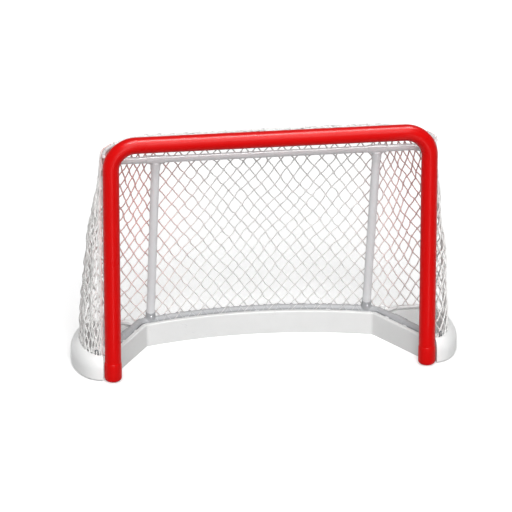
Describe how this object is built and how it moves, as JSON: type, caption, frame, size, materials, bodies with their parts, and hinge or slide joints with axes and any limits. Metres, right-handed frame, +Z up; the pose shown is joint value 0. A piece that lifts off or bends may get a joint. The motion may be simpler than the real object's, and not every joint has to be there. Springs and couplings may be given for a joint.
{
  "type": "ice hockey goal",
  "caption": "Free-standing hockey goal: bent red pipe front frame, grey tube rear frame, white kick walls and bumpers, and netting laced to thin rods.",
  "frame": {"origin": "on the floor, midway between the two posts and midway between the front of the post boots and the rear of the rear bumper", "axes": "+X along the crossbar, +Y from the mouth back into the net, +Z up"},
  "size_m": [1.434, 0.4704, 0.9453],
  "materials": {
    "red_paint": "gloss",
    "red_boot": "satin",
    "grey_paint": "satin",
    "white_paint": "satin",
    "wall_plastic": "matte",
    "bumper_vinyl": "satin",
    "net_twine": "matte",
    "lacing_twine": "matte",
    "zinc": "satin",
    "dark_wire": "satin"
  },
  "bodies": {
    "root": {"base_coupler_left": "grey_paint", "base_coupler_right": "grey_paint", "base_tee_left": "grey_paint", "base_tee_left_bolt": "zinc", "base_tee_right": "grey_paint", "base_tee_right_bolt": "zinc", "base_tube_left": "grey_paint", "base_tube_rear": "grey_paint", "base_tube_right": "grey_paint", "bumper_left": "bumper_vinyl", "bumper_rear": "bumper_vinyl", "bumper_right": "bumper_vinyl", "coupler_bolt_left_front": "zinc", "coupler_bolt_left_rear": "zinc", "coupler_bolt_right_front": "zinc", "coupler_bolt_right_rear": "zinc", "front_frame": "red_paint", "kick_wall_left": "wall_plastic", "kick_wall_rear": "wall_plastic", "kick_wall_right": "wall_plastic", "lacing_base": "lacing_twine", "lacing_bow": "lacing_twine", "lacing_post_left": "lacing_twine", "lacing_post_right": "lacing_twine", "lacing_rod_left": "white_paint", "lacing_rod_right": "white_paint", "lacing_rod_top": "white_paint", "lacing_side_left": "lacing_twine", "lacing_side_right": "lacing_twine", "lacing_top": "lacing_twine", "net_back": "net_twine", "net_bow": "white_paint", "net_left": "net_twine", "net_right": "net_twine", "net_staple_left": "dark_wire", "net_staple_right": "dark_wire", "net_top": "net_twine", "post_boot_left": "red_boot", "post_boot_right": "red_boot", "rail_tee_left": "grey_paint", "rail_tee_left_bolt": "zinc", "rail_tee_right": "grey_paint", "rail_tee_right_bolt": "zinc", "rear_post_left": "grey_paint", "rear_post_right": "grey_paint", "rear_rail": "grey_paint", "side_bow_left": "white_paint", "side_bow_right": "white_paint", "wall_saddle_left_front": "grey_paint", "wall_saddle_left_rear": "grey_paint", "wall_saddle_rear_left": "grey_paint", "wall_saddle_rear_middle": "grey_paint", "wall_saddle_rear_right": "grey_paint", "wall_saddle_right_front": "grey_paint", "wall_saddle_right_rear": "grey_paint"}
  },
  "joints": []
}
